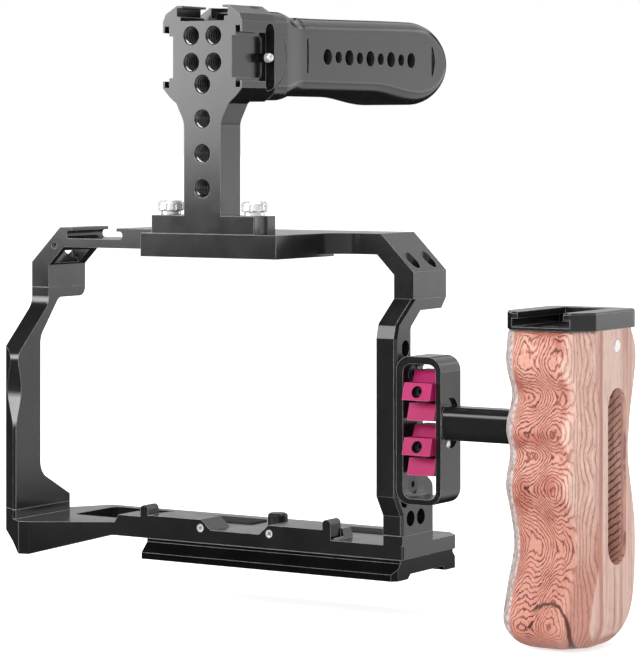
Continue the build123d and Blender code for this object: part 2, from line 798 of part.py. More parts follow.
# Clamp ring and arm: a racetrack ring bolted to the right post, with the arm of the side grip.
ring_wall_in = 2.4
ring_wall_out = 1.8
ring_corner = 4.6
arm_half_z = 5.0
arm_front = ring_front + 0.5
arm_back = ring_back - 0.5
tongue_y = -12.0
tongue_half = 6.0
tongue_end = wood_left + 6.1
clamp_left = outer_right + 4.2
clamp_right = ring_right - ring_wall_out
clamp_x = (clamp_left + clamp_right) / 2
clamp_base = (arm_z + 0.8, arm_z - 15.7)
clamp_pin_up = 9.0
clamp_pin_in = 1.6
clamp_pin_out = 1.0
scoop_r = 4.4
scoop_off = 3.3
scoop_depth = 1.0


ring_hole_left = outer_right + ring_wall_in
ring_hole = rounded(ring_hole_left, clamp_right, ring_low + 1.8, ring_high - 2.3, ring_corner - 2.0)


def make_clamp_arm():
    rim = rounded(outer_right, ring_right, ring_low, ring_high, ring_corner)
    ring = along_y(rim, ring_front, ring_back)
    ring = ring - along_y(ring_hole, ring_front - 1, ring_back + 1)
    for z in (arm_z - scoop_off, arm_z + scoop_off):
        ring = ring - rod_x(ring_mid, z, scoop_r, ring_right - scoop_depth, ring_right + 1)
    section = rounded(arm_front, arm_back, arm_z - arm_half_z, arm_z + arm_half_z, 2.8)
    ring = ring + along_x(section, ring_right - scoop_depth, wood_left - 0.3)
    for z0 in clamp_base:
        ring = ring - rod_x(ring_mid, z0 + clamp_pin_up, m25, clamp_right, clamp_right + clamp_pin_out)
    y0 = tongue_y - tongue_half
    y1 = tongue_y + tongue_half
    ring = ring + block(wood_left - 2.3, tongue_end, y0, y1, arm_z - arm_half_z, arm_z + arm_half_z)
    ring = ring - rod_x(tongue_y, arm_z, m6 + run_fit, wood_left - 0.3, tongue_end + 1)
    for z in arm_bolt_z:
        sink = Rot(0, 90, 0) * flat_sink(m3, bolt_head_r, ring_wall_in + 2, 2)
        ring = ring - Pos(outer_right + ring_wall_in, ring_mid, z) * sink
    return ring


def make_arm_screws():
    x = outer_right + ring_wall_in
    return [
        Pos(x, ring_mid, z) * Rot(0, 90, 0) * flat_screw(m3, bolt_head_r, ring_wall_in + 4.8, m3 * 1.3)
        for z in arm_bolt_z
    ]


# Cable clamps: a fixed body and a jaw below it that slides up and down on its tie. The screw in
# the front of the body presses on the tie and locks the jaw where it is.
clamp_back = ring_back - 0.3
jaw_top = 5.1
jaw_travel = 1.0
body_low = 6.3
body_mid = 11.4
body_top = 14.8
tie_half = 2.1
tie_front = -13.0
tie_back = -9.5
tie_top = 9.8
lock_up = 8.8
lock_r = 1.65
lock_sunk = 1.1
lean = 1.6


def make_clamp_body(z0):
    side = [
        (-23.8, z0 + body_low),
        (clamp_back, z0 + body_low),
        (clamp_back, z0 + body_top),
        (-17.3 + lean, z0 + body_top),
        (-17.3, z0 + body_mid),
        (-23.8 + lean, z0 + body_mid),
    ]
    body = along_x(side, clamp_left, clamp_right) & along_y(ring_hole, -30, 0)
    half = tie_half + run_fit
    y0 = tie_front - run_fit
    y1 = tie_back + run_fit
    low = z0 + body_low - 1
    high = z0 + tie_top + jaw_travel + 0.2
    body = body - block(clamp_x - half, clamp_x + half, y0, y1, low, high)
    body = body - rod_y(clamp_x, z0 + lock_up, lock_r + run_fit, -25, tie_front)
    body = body - rod_x(ring_mid, z0 + clamp_pin_up, m25, clamp_right - clamp_pin_in, clamp_right)
    return body


def make_clamp_jaw(z0):
    side = [
        (-20.7, z0),
        (clamp_back, z0),
        (clamp_back, z0 + jaw_top),
        (-20.7 + lean, z0 + jaw_top),
    ]
    jaw = along_x(side, clamp_left, clamp_right - 0.3)
    tie = block(
        clamp_x - tie_half, clamp_x + tie_half, tie_front, tie_back, z0 + jaw_top - 1, z0 + tie_top
    )
    return jaw + tie


def make_clamp_screw(z0):
    start = -23.8 + lean + lock_sunk
    stop = tie_front - 0.1
    body = rod_y(clamp_x, z0 + lock_up, lock_r, start, stop - 1.0)
    nose = Pos(clamp_x, stop - 0.5, z0 + lock_up) * Rot(-90, 0, 0) * Cone(lock_r, 0.6, 1.0)
    socket = Pos(clamp_x, start + 2.0, z0 + lock_up) * Rot(90, 0, 0) * hex_rod(lock_r * 0.9, 4)
    return body + nose - socket


def make_clamp_pins():
    return [
        rod_x(ring_mid, z0 + clamp_pin_up, m25, clamp_right - clamp_pin_in, clamp_right + clamp_pin_out)
        for z0 in clamp_base
    ]


# Wooden side grip, its cold-shoe cap and the bolt that sets its height.
pocket_half = 5.95
pocket_low = 8.7
pocket_high = 60.3
pocket_floor = wood_right - 17.5
slide_down = 6.5
slide_up = 31.0
wood_front = -32.5
wood_back = 3.5
pin_r = 2.0
pin_drop = 4.9
# share of the height, and how far the front, the back and both sides stray from the block
wood_shape = (
    (1.000, 1.2, -3.4, 0.0),
    (0.957, -0.4, -1.2, 0.0),
    (0.908, -1.1, -0.2, 0.0),
    (0.852, 0.4, -1.0, 0.0),
    (0.796, 2.6, -2.4, 0.0),
    (0.735, 0.7, -3.9, 0.0),
    (0.675, -0.8, -4.8, 0.0),
    (0.614, 1.4, -5.4, 0.0),
    (0.558, 0.1, -4.7, 0.0),
    (0.505, -1.1, -3.5, 0.0),
    (0.450, 0.6, -2.2, 0.0),
    (0.403, 2.2, -1.3, 0.0),
    (0.313, 3.9, -0.6, 0.0),
    (0.230, 1.4, -1.0, 0.0),
    (0.131, -1.9, -2.7, 0.0),
    (0.077, -2.8, -5.6, 0.2),
    (0.035, -0.8, -9.5, 1.4),
    (0.009, 3.2, -13.0, 4.0),
    (0.000, 7.0, -16.0, 7.0),
)


def wood_section(share, front, back, tuck):
    z = wood_bottom + (wood_top - wood_bottom) * share
    x0 = wood_left + tuck
    x1 = wood_right - tuck
    y0 = wood_front + front
    y1 = wood_back + back
    points = [
        (x0, y0 + 6.8, 3.0),
        (x0 + 5.0, y0, 3.0),
        (x1 - 5.0, y0, 3.0),
        (x1, y0 + 6.8, 3.0),
        (x1, y1, 4.0),
        (x0, y1, 4.0),
    ]
    return Plane.XY.offset(z) * outline(points)


def make_wood():
    wood = loft([wood_section(*row) for row in wood_shape])
    y0 = tongue_y - pocket_half
    y1 = tongue_y + pocket_half
    pocket = rounded(y0, y1, pocket_low, pocket_high, pocket_half - 0.01)
    wood = wood - along_x(pocket, pocket_floor, wood_right + 5)
    slot = rounded(tongue_y - 3.4, tongue_y + 3.4, pocket_low + 2.5, pocket_high - 2.5, 3.35)
    wood = wood - along_x(slot, wood_left + 3, pocket_floor + 1)
    groove_low = arm_z - arm_half_z - slide_up - 0.5
    groove_high = arm_z + arm_half_z + slide_down + 0.5
    y0 = tongue_y - tongue_half - run_fit
    y1 = tongue_y + tongue_half + run_fit
    wood = wood - block(wood_left - 5, tongue_end + 0.2, y0, y1, groove_low, groove_high)
    wood = wood - rod_x(tongue_y, wood_top - pin_drop, pin_r, wood_right - 7.0, wood_right + 5)
    for y in cap_screw_y:
        wood = wood - rod_z(wood_mid, y, m3, wood_top - 9.0, wood_top)
    return wood


cap_floor = 1.0
cap_undercut = 2.4
cap_screw_y = (-26.0, -8.0)


def make_cap():
    points = [
        (wood_left, wood_front + 6.8, 1.0),
        (wood_left + 5.0, wood_front, 1.0),
        (wood_right - 5.0, wood_front, 1.0),
        (wood_right, wood_front + 6.8, 1.0),
        (wood_right, wood_back, 5.0),
        (wood_left, wood_back, 5.0),
    ]
    cap = along_z(points, wood_top, cap_top)
    cap = chamfer(cap.faces().sort_by(Axis.Z)[-1].edges(), 0.5)
    floor = wood_top + cap_floor
    half = shoe_width / 2
    y1 = wood_back - 6.0
    cap = cap - block(wood_mid - half, wood_mid + half, wood_front - 1, y1, floor, floor + cap_undercut)
    half = shoe_opening / 2
    cap = cap - block(wood_mid - half, wood_mid + half, wood_front - 1, y1, floor, cap_top + 1)
    for y in cap_screw_y:
        cap = cap - Pos(wood_mid, y, floor) * flat_sink(m3, m3 + 0.9, 5, 0.5)
    return cap


def make_cap_screws():
    floor = wood_top + cap_floor
    screw = flat_screw(m3, m3 + 0.9, cap_floor + 8.8, 1.6)
    return [Pos(wood_mid, y, floor) * screw for y in cap_screw_y]


def make_pin():
    pin = rod_x(tongue_y, wood_top - pin_drop, pin_r, wood_right - 7.0, wood_right + 0.2)
    return chamfer(pin.faces().sort_by(Axis.X)[-1].edges(), 0.3)


washer_thick = 1.2


def make_washer():
    x0 = pocket_floor + head_gap
    disc = rod_x(tongue_y, arm_z, 5.75, x0, x0 + washer_thick)
    return disc - rod_x(tongue_y, arm_z, m6, x0 - 1, x0 + 3)


def make_bolt():
    x0 = pocket_floor + head_gap + washer_thick
    length = x0 - wood_left - 0.5
    screw = cap_screw(m6, 5.0, 5.6, length, 5.0)
    return Pos(x0, tongue_y, arm_z) * Rot(0, 90, 0) * screw


save(make_base(), "base_plate")
save(make_base_screws(), "base_screws")
save(make_set_screws(), "front_set_screws")
save(make_pads(), "rubber_pads")
save(make_release_plate(), "release_plate")
save(make_release_screws(), "release_plate_screws")
save(make_camera_screw(), "camera_screw")
save(make_left_post(), "left_post")
save(make_right_post(), "right_post")
save(make_top_frame(), "top_frame")
save(make_top_screws(), "top_frame_screws")
save(make_shoulder_screw(), "shoulder_screw")
save(make_head(), "handle_head")
save(make_grip(), "handle_grip")
save(make_tenon_screws(), "handle_grip_screws")
save(make_foot_screw(-1), "left_foot_screw")
save(make_foot_screw(1), "right_foot_screw")
save(make_dowels(), "foot_dowels")
save(make_plunger(), "shoe_plunger")
save(make_clamp_arm(), "clamp_arm")
save(make_arm_screws(), "clamp_arm_screws")
save(make_clamp_pins(), "cable_clamp_pins")
for side_name, z0 in zip(("upper", "lower"), clamp_base):
    save(make_clamp_body(z0), side_name + "_clamp_body")
    save(make_clamp_jaw(z0), side_name + "_clamp_jaw")
    save(make_clamp_screw(z0), side_name + "_clamp_screw")
save(make_wood(), "wooden_grip")
save(make_cap(), "grip_cap")
save(make_cap_screws(), "grip_cap_screws")
save(make_pin(), "grip_pin")
save(make_washer(), "grip_washer")
save(make_bolt(), "grip_bolt")
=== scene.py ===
import bpy
import bmesh
import json
import math
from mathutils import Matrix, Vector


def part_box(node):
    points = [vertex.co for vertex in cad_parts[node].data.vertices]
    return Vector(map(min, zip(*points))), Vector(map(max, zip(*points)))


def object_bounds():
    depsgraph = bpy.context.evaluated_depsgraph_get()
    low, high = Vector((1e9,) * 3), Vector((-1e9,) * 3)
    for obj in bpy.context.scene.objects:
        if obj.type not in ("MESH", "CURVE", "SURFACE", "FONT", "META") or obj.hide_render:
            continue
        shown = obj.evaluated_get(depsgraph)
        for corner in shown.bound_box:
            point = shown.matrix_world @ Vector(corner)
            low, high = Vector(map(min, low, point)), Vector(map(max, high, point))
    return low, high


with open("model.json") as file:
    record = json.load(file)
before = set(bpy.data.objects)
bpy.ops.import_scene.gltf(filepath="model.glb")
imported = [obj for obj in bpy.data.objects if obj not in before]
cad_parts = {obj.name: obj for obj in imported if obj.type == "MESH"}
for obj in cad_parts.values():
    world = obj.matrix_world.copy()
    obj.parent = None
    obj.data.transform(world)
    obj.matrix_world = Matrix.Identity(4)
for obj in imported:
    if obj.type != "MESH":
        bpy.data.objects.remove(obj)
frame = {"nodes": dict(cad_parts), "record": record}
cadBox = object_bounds()
nodes = frame["nodes"]
mm = 0.001
print("frame loaded:", len(nodes), "pieces")


# shorthands for building a material's graph
def newMaterial(name):
    mat = bpy.data.materials.new(name)
    mat.use_nodes = True
    tree = mat.node_tree
    tree.nodes.clear()
    out = tree.nodes.new("ShaderNodeOutputMaterial")
    shader = tree.nodes.new("ShaderNodeBsdfPrincipled")
    tree.links.new(shader.outputs["BSDF"], out.inputs["Surface"])
    return mat, tree, shader


def put(tree, kind, inputs=None, **settings):
    node = tree.nodes.new(kind)
    for key, value in settings.items():
        setattr(node, key, value)
    for key, value in (inputs or {}).items():
        if isinstance(value, bpy.types.NodeSocket):
            tree.links.new(value, node.inputs[key])
        else:
            node.inputs[key].default_value = value
    return node


def calc(tree, operation, a, b=0.0, c=0.0):
    return put(tree, "ShaderNodeMath", {0: a, 1: b, 2: c}, operation=operation).outputs[0]


def plus(tree, a, b):
    return calc(tree, "ADD", a, b)


def minus(tree, a, b):
    return calc(tree, "SUBTRACT", a, b)


def times(tree, product, *factors):
    for factor in factors:
        product = calc(tree, "MULTIPLY", product, factor)
    return product


def vectorMath(tree, operation, a, b=(0, 0, 0)):
    node = put(tree, "ShaderNodeVectorMath", {0: a, 1: b}, operation=operation)
    single = operation in ("DOT_PRODUCT", "LENGTH")
    return node.outputs["Value" if single else "Vector"]


def split(tree, vector):
    return tuple(put(tree, "ShaderNodeSeparateXYZ", {0: vector}).outputs)


def objectPlace(tree):
    return put(tree, "ShaderNodeTexCoord").outputs["Object"]


def mixValue(tree, factor, a, b):
    return put(tree, "ShaderNodeMix", {0: factor, 2: a, 3: b}).outputs[0]


def mixColour(tree, factor, a, b):
    node = put(tree, "ShaderNodeMix", data_type="RGBA")
    for index, value in ((0, factor), (6, a), (7, b)):
        if isinstance(value, bpy.types.NodeSocket):
            tree.links.new(value, node.inputs[index])
        elif index == 0:
            node.inputs[0].default_value = value
        else:
            node.inputs[index].default_value = (*value, 1)
    return node.outputs[2]


def mapRange(tree, value, low, high, toLow=0.0, toHigh=1.0, smooth=False):
    node = put(tree, "ShaderNodeMapRange", {"Value": value, "From Min": low, "From Max": high,
                                            "To Min": toLow, "To Max": toHigh})
    if smooth:
        node.interpolation_type = "SMOOTHSTEP"
    return node.outputs[0]


def noise(tree, where, scale, detail=3.0, rough=0.5, stretch=(1, 1, 1)):
    if stretch != (1, 1, 1):
        where = put(tree, "ShaderNodeMapping", {"Vector": where, "Scale": stretch}).outputs[0]
    return put(tree, "ShaderNodeTexNoise", {"Vector": where, "Scale": scale, "Detail": detail,
                                            "Roughness": rough}).outputs[0]


def addBump(tree, height, strength, distance, normal=None):
    node = put(tree, "ShaderNodeBump", {"Height": height, "Strength": strength, "Distance": distance})
    if normal is not None:
        tree.links.new(normal, node.inputs["Normal"])
    return node.outputs[0]


# satin anodised aluminium and steel: bead-blasted skin, edges painted brighter, partly as wear and
# partly as a painted edge highlight
blackMetal = {
    "base": (0.009, 0.009, 0.009), "lighter": (0.014, 0.014, 0.014), "edgeWearAndHighlight": (0.36, 0.36, 0.36),
    "edgeWidth": 0.28 * mm, "rough": (0.16, 0.22), "edgeRough": 0.16,
    "grit": 2600.0, "gritDepth": 0.03, "metallic": 0.0, "specular": 0.62,
}
plateMetal = {
    **blackMetal, "base": (0.003, 0.003, 0.003), "lighter": (0.005, 0.005, 0.005), "specular": 0.10,
}
pinkMetal = {
    "base": (0.34, 0.003, 0.085), "lighter": (0.39, 0.004, 0.105), "edgeWearAndHighlight": (0.80, 0.16, 0.36),
    "edgeWidth": 0.25 * mm, "rough": (0.38, 0.48), "edgeRough": 0.25,
    "grit": 2600.0, "gritDepth": 0.04, "metallic": 0.0, "specular": 0.22,
}
darkSteel = {
    "base": (0.014, 0.014, 0.014), "lighter": (0.026, 0.026, 0.026), "edgeWearAndHighlight": (0.26, 0.26, 0.26),
    "edgeWidth": 0.15 * mm, "rough": (0.24, 0.34), "edgeRough": 0.2,
    "grit": 1800.0, "gritDepth": 0.04, "metallic": 0.0, "specular": 0.5,
}
brightSteel = {
    "base": (0.90, 0.90, 0.90), "lighter": (0.97, 0.97, 0.97), "edgeWearAndHighlight": (0.98, 0.98, 0.98),
    "edgeWidth": 0.25 * mm, "rough": (0.16, 0.26), "edgeRough": 0.12,
    "grit": 900.0, "gritDepth": 0.015, "metallic": 0.45, "specular": 0.7,
}
# wear and the painted edge highlight that all the metals share; a noise is its scale, detail and
# roughness
wearAndEdgeHighlight = {
    "cloud": (55.0, 4.0), "cloudSpan": (0.35, 0.65),
    "edgeSamples": 6, "edgeSpan": (0.995, 0.90),
    "scuff": (420.0, 5.0, 0.6), "scuffSpan": (0.25, 0.6, 0.55, 1.0),
    "smear": (130.0, 5.0, 0.6), "smearSpan": (0.3, 0.7),
    "gritNoise": (3.0, 0.6), "gritDistance": 0.1 * mm,
}


def makeMetal(name, look, paint=None, relief=None):
    mat, tree, shader = newMaterial(name)
    where = objectPlace(tree)
    cloud = mapRange(tree, noise(tree, where, *wearAndEdgeHighlight["cloud"]), *wearAndEdgeHighlight["cloudSpan"])
    colour = mixColour(tree, cloud, look["base"], look["lighter"])
    # worn edge, partly a painted edge highlight: where the rounded normal leaves the flat one
    bevel = put(tree, "ShaderNodeBevel", {"Radius": look["edgeWidth"]}, samples=wearAndEdgeHighlight["edgeSamples"])
    rounded = bevel.outputs[0]
    flat = put(tree, "ShaderNodeNewGeometry").outputs["Normal"]
    edgeWearAndHighlight = mapRange(tree, vectorMath(tree, "DOT_PRODUCT", rounded, flat), *wearAndEdgeHighlight["edgeSpan"])
    scuff = noise(tree, where, *wearAndEdgeHighlight["scuff"])
    edgeWearAndHighlight = times(tree, edgeWearAndHighlight, mapRange(tree, scuff, *wearAndEdgeHighlight["scuffSpan"]))
    colour = mixColour(tree, edgeWearAndHighlight, colour, look["edgeWearAndHighlight"])
    if paint:
        colour = paint(tree, where, flat, colour)
    tree.links.new(colour, shader.inputs["Base Color"])
    smear = noise(tree, where, *wearAndEdgeHighlight["smear"])
    rough = mapRange(tree, smear, *wearAndEdgeHighlight["smearSpan"], *look["rough"])
    rough = mixValue(tree, edgeWearAndHighlight, rough, look["edgeRough"])
    tree.links.new(rough, shader.inputs["Roughness"])
    grit = noise(tree, where, look["grit"], *wearAndEdgeHighlight["gritNoise"])
    normal = addBump(tree, grit, look["gritDepth"], wearAndEdgeHighlight["gritDistance"], rounded)
    if relief:
        normal = relief(tree, where, flat, normal)
    tree.links.new(normal, shader.inputs["Normal"])
    shader.inputs["Metallic"].default_value = look["metallic"]
    shader.inputs["Specular IOR Level"].default_value = look["specular"]
    return mat


# tapped holes of the handle's post and head: threaded walls with painted light, lighter than the skin,
# and a painted highlight at each mouth
headLow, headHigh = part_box("handle_head")
threads = {
    "middle": (headLow.x + headHigh.x) / 2, "postHalf": 3.2 * mm, "headHalf": 6.9 * mm,
    "widens": headHigh.z - 22.0 * mm, "widensWithin": 0.01 * mm,
    "low": headLow.z + 12.0 * mm, "high": headHigh.z - 5.6 * mm, "wallFacing": 0.3,
    "pitch": 1.27 * mm, "depth": 0.9, "distance": 0.6 * mm, "wall": (0.10, 0.10, 0.10),
    "mouth": headLow.y, "mouthDepth": (1.9 * mm, 0.6 * mm),
    "glint": (3.0, 3.0, 3.0), "glintWay": (0.42, 0.0, 0.91), "glintSpan": (0.72, 0.96),
}


def threadedWalls(tree, where, flat):
    x, _, z = split(tree, where)
    tilt = calc(tree, "ABSOLUTE", split(tree, flat)[1])
    wall = calc(tree, "LESS_THAN", tilt, threads["wallFacing"])
    widens = threads["widens"]
    reach = mapRange(tree, z, widens, widens + threads["widensWithin"], threads["postHalf"],
                     threads["headHalf"])
    near = calc(tree, "COMPARE", x, threads["middle"], reach)
    middleZ = (threads["low"] + threads["high"]) / 2
    level = calc(tree, "COMPARE", z, middleZ, threads["high"] - middleZ)
    return times(tree, wall, near, level)


def paintThreadLight(tree, where, flat, colour):
    inside = threadedWalls(tree, where, flat)
    # painted light: the threaded walls are painted lighter than the skin
    colour = mixColour(tree, inside, colour, threads["wall"])
    # painted highlight: the mouth of each hole is painted brighter than white low on its left, where it
    # would catch the light
    glint = vectorMath(tree, "DOT_PRODUCT", flat, threads["glintWay"])
    glint = mapRange(tree, glint, *threads["glintSpan"])
    depth = minus(tree, split(tree, where)[1], threads["mouth"])
    glint = times(tree, glint, mapRange(tree, depth, *threads["mouthDepth"]), inside)
    return mixColour(tree, glint, colour, threads["glint"])


def cutThreads(tree, where, flat, normal):
    half = threads["pitch"] / 2
    ridge = calc(tree, "PINGPONG", split(tree, where)[1], half)
    height = times(tree, calc(tree, "DIVIDE", ridge, half), threadedWalls(tree, where, flat))
    return addBump(tree, height, threads["depth"], threads["distance"], normal)


# row of holes through the handle's grip: painted light, the walls painted a little lighter than its
# skin
gripLow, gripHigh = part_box("handle_grip")
gripHoles = {
    "level": gripHigh.z - 13.0 * mm, "half": 3.0 * mm, "wallFacing": 0.5,
    "from": gripLow.y + 20.0 * mm, "to": gripHigh.y - 14.0 * mm, "wall": (0.045, 0.045, 0.045),
}


def paintGripHoleLight(tree, where, flat, colour):
    _, y, z = split(tree, where)
    across = calc(tree, "ABSOLUTE", split(tree, flat)[0])
    inside = times(tree, calc(tree, "LESS_THAN", across, gripHoles["wallFacing"]),
                   calc(tree, "COMPARE", z, gripHoles["level"], gripHoles["half"]),
                   calc(tree, "GREATER_THAN", y, gripHoles["from"]),
                   calc(tree, "LESS_THAN", y, gripHoles["to"]))
    # painted light inside the holes
    return mixColour(tree, inside, colour, gripHoles["wall"])


# painted shade: the bores around the lock screws of the pink clamps are painted dark
def middle(name):
    low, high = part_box(name)
    return (low + high) / 2


shadedLockBores = {
    "centres": [middle("upper_clamp_screw"), middle("lower_clamp_screw")],
    "radius": 1.78 * mm, "base": (0.006, 0.003, 0.004),
}


def paintLockBoreShade(tree, where, flat, colour):
    for centre in shadedLockBores["centres"]:
        away = vectorMath(tree, "SUBTRACT", where, centre)
        away = vectorMath(tree, "MULTIPLY", away, (1, 0, 1))
        inside = calc(tree, "LESS_THAN", vectorMath(tree, "LENGTH", away), shadedLockBores["radius"])
        # painted shade inside the bore
        colour = mixColour(tree, inside, colour, shadedLockBores["base"])
    return colour


# dark stem behind the polished ball of the shoe plunger
plungerStem = {"end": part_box("shoe_plunger")[1].x - 2.4 * mm, "base": (0.01, 0.01, 0.01)}


def paintStem(tree, where, flat, colour):
    stem = calc(tree, "LESS_THAN", split(tree, where)[0], plungerStem["end"])
    return mixColour(tree, stem, colour, plungerStem["base"])


# soft rubber of the seat pads
rubberLook = {
    "base": (0.012, 0.012, 0.012), "lighter": (0.03, 0.03, 0.03), "rough": 0.75,
    "grain": (1500.0, 4.0, 0.6), "bump": 0.4, "distance": 0.1 * mm,
}


def makeRubber(name, look):
    mat, tree, shader = newMaterial(name)
    grain = noise(tree, objectPlace(tree), *look["grain"])
    tree.links.new(mixColour(tree, grain, look["base"], look["lighter"]), shader.inputs["Base Color"])
    shader.inputs["Roughness"].default_value = look["rough"]
    normal = addBump(tree, grain, look["bump"], look["distance"])
    tree.links.new(normal, shader.inputs["Normal"])
    return mat


# oiled hardwood: growth layers lie across the depth, so the finger waves cut them into rings
woodLow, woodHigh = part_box("wooden_grip")
woodLook = {
    "pale": (0.84, 0.57, 0.46), "warm": (0.58, 0.24, 0.18), "deepRed": (0.40, 0.09, 0.06),
    "line": (0.06, 0.012, 0.008), "sidePale": (0.96, 0.69, 0.59),
    "reflectionGrey": (0.30, 0.25, 0.24), "reflectionPale": (0.62, 0.56, 0.54),
    # growth layers, in mm; x counts from a column of eyes, and depth from the front face
    "eyeX": 94.4, "eyePitch": 12.4, "eyeDepth": 1.9, "crown": 0.05, "face": woodLow.y / mm,
    "turn": (1.0, 5.0), "steep": 1.9, "shallow": 0.6, "calm": 0.3, "warp": 8.5, "ripple": 2.3,
    "period": 0.95, "lineWidth": (0.18, 0.54), "lineSpread": (0.3, 0.7), "lineSharp": 2.2,
    # the pocket in the right side, whose layers are cut on the slant, painted paler as painted light
    # against its shade
    "pocketSide": (woodHigh.x - 1.0 * mm, woodHigh.x - 1.8 * mm),
    "pocketWall": (-19.5 * mm, -18.5 * mm),
    "slantUp": 0.42, "slantAcross": 0.36, "slantWarp": 0.5, "pocketPaintedLight": 0.8,
    # noises: scale, detail, roughness, stretch
    "warpNoise": (60.0, 2.0, 0.55, (1, 0.3, 0.62)), "rippleNoise": (420.0, 3.0, 0.6, (1, 0.3, 0.6)),
    "fibre": (900.0, 4.0, 0.65, (1, 1, 0.05)), "streak": (240.0, 3.0, 0.6, (1, 1, 0.03)),
    "pores": (2400.0, 2.0, 0.5, (1, 1, 0.09)), "cloud": (85.0, 4.0, 0.6, (1, 1, 0.6)),
    "patch": (130.0, 3.0, 0.6, (1, 1, 0.7)), "scatter": (700.0, 3.0, 0.6),
    # the dark heart on the front's left, and where the body turns warm, red or pale
    "heart": (5.0, 1.5), "heartWarp": 14.0, "heartWarm": 0.42, "outerPale": 0.8,
    "waveWarm": (0.9, 0.2), "cloudWarm": (0.40, 0.60, 0.0, 0.7), "patchRed": (0.50, 0.62, 0.0, 0.75),
    "footWarm": (32.0, 5.0, 0.0, 0.75), "fibreWarm": (0.35, 0.65, 0.0, 0.5),
    "sideFacing": (0.84, 0.95), "sideStreak": (0.45, 0.62, 0.0, 0.8), "sideTone": 0.85,
    # how strong the lines are by cloud, heart, side, streak and pocket, and what the pores add
    "cloudLines": (0.35, 0.6, 0.6, 1.0), "heartLines": (0.0, 1.0, 0.5, 1.0),
    "sideLines": (0.0, 1.0, 1.0, 0.12), "streakLines": (0.35, 0.6, 0.65, 1.0),
    "pocketLines": (0.0, 1.0, 1.0, 0.9), "poreLines": (0.58, 0.70, 0.0, 0.35),
    # front right corner streak, dark arch and the painted reflection on the front left corner
    "cornerX": 7.0, "cornerY": (-22.3, 1.1), "cornerFibre": (0.3, 0.6, 0.2, 0.8),
    "archAt": (-1.5, -7.2), "archSize": (6.6, 7.8), "archRipple": 0.35, "archWidth": (0.10, 0.04),
    "archPart": (-0.3, 0.2, 0.0, 0.9), "archBack": -20.0,
    "reflectionEdge": (-0.20, -0.30, 0.0, 0.9), "reflectionFacing": (-0.985, -0.94), "reflectionBack": (-18.0, -21.0),
    "reflectionSpeck": (0.40, 0.60),
    # skin
    "rough": (0.45, 0.58), "roughFibre": (0.2, 0.8), "lineRelief": -0.5, "fibreRelief": 0.35,
    "bump": 0.35, "distance": 0.15 * mm, "specular": 0.3,
}


def growthLayers(tree, where, look):
    across, along, up = split(tree, where)
    x = minus(tree, times(tree, across, 1 / mm), look["eyeX"])
    y = times(tree, along, 1 / mm)
    z = times(tree, up, 1 / mm)
    # the right facet is calmer, and its layers run upright
    calm = mapRange(tree, x, *look["turn"], 1.0, look["calm"])
    steep = mapRange(tree, x, *look["turn"], look["steep"], look["shallow"])
    warp = times(tree, minus(tree, noise(tree, where, *look["warpNoise"]), 0.5), calm)
    ripple = times(tree, minus(tree, noise(tree, where, *look["rippleNoise"]), 0.5), calm)
    # depth of a point below the bowed layers, with two columns of eyes up the front
    swing = calc(tree, "COSINE", times(tree, x, 2 * math.pi / look["eyePitch"]))
    bowed = times(tree, x, x, look["crown"])
    depth = plus(tree, times(tree, minus(tree, y, look["face"]), steep), bowed)
    depth = minus(tree, depth, times(tree, swing, look["eyeDepth"]))
    depth = plus(tree, depth, times(tree, warp, look["warp"]))
    # slanted layers in the pocket
    deep = times(tree, mapRange(tree, across, *look["pocketSide"]),
                 mapRange(tree, along, *look["pocketWall"]))
    slanted = minus(tree, times(tree, z, look["slantUp"]), times(tree, x, look["slantAcross"]))
    slanted = plus(tree, slanted, times(tree, warp, look["warp"] * look["slantWarp"]))
    depth = mixValue(tree, deep, depth, slanted)
    depth = plus(tree, depth, times(tree, ripple, look["ripple"]))
    half = look["period"] / 2
    wave = calc(tree, "DIVIDE", calc(tree, "PINGPONG", depth, half), half)
    return {"x": x, "y": y, "z": z, "calm": calm, "warp": warp, "ripple": ripple,
            "deep": deep, "wave": wave}


def bodyColour(tree, layers, fine, heart, side, look):
    warm = look["warm"]
    sidePale = look["sidePale"]
    body = mixColour(tree, mapRange(tree, layers["wave"], *look["waveWarm"]), look["pale"], warm)
    cloudy = times(tree, mapRange(tree, fine["cloud"], *look["cloudWarm"]), layers["calm"])
    body = mixColour(tree, cloudy, body, warm)
    # the front's left part is darker and redder than its right
    outer = minus(tree, 1.0, heart)
    body = mixColour(tree, times(tree, outer, look["outerPale"]), body, sidePale)
    body = mixColour(tree, times(tree, heart, look["heartWarm"]), body, warm)
    red = times(tree, mapRange(tree, fine["patch"], *look["patchRed"]), heart)
    body = mixColour(tree, red, body, look["deepRed"])
    # painted light: the pocket is painted paler to lift its shade
    body = mixColour(tree, times(tree, layers["deep"], look["pocketPaintedLight"]), body, sidePale)
    body = mixColour(tree, mapRange(tree, layers["z"], *look["footWarm"]), body, warm)
    body = mixColour(tree, mapRange(tree, fine["fibre"], *look["fibreWarm"]), body, warm)
    # the sides show the layers edge on and stay paler
    tone = mixColour(tree, mapRange(tree, fine["streak"], *look["sideStreak"]), sidePale, warm)
    return mixColour(tree, times(tree, side, look["sideTone"]), body, tone)


def growthLines(tree, layers, fine, look):
    width = mapRange(tree, fine["scatter"], *look["lineSpread"], *look["lineWidth"])
    lines = minus(tree, 1.0, calc(tree, "DIVIDE", layers["wave"], width))
    lines = times(tree, calc(tree, "MAXIMUM", lines, 0.0), look["lineSharp"])
    return calc(tree, "MINIMUM", lines, 1.0)


def lineStrength(tree, layers, fine, heart, side, look):
    return times(tree, mapRange(tree, fine["cloud"], *look["cloudLines"]),
                 mapRange(tree, heart, *look["heartLines"]),
                 mapRange(tree, side, *look["sideLines"]),
                 mapRange(tree, fine["streak"], *look["streakLines"]),
                 mapRange(tree, layers["deep"], *look["pocketLines"]))


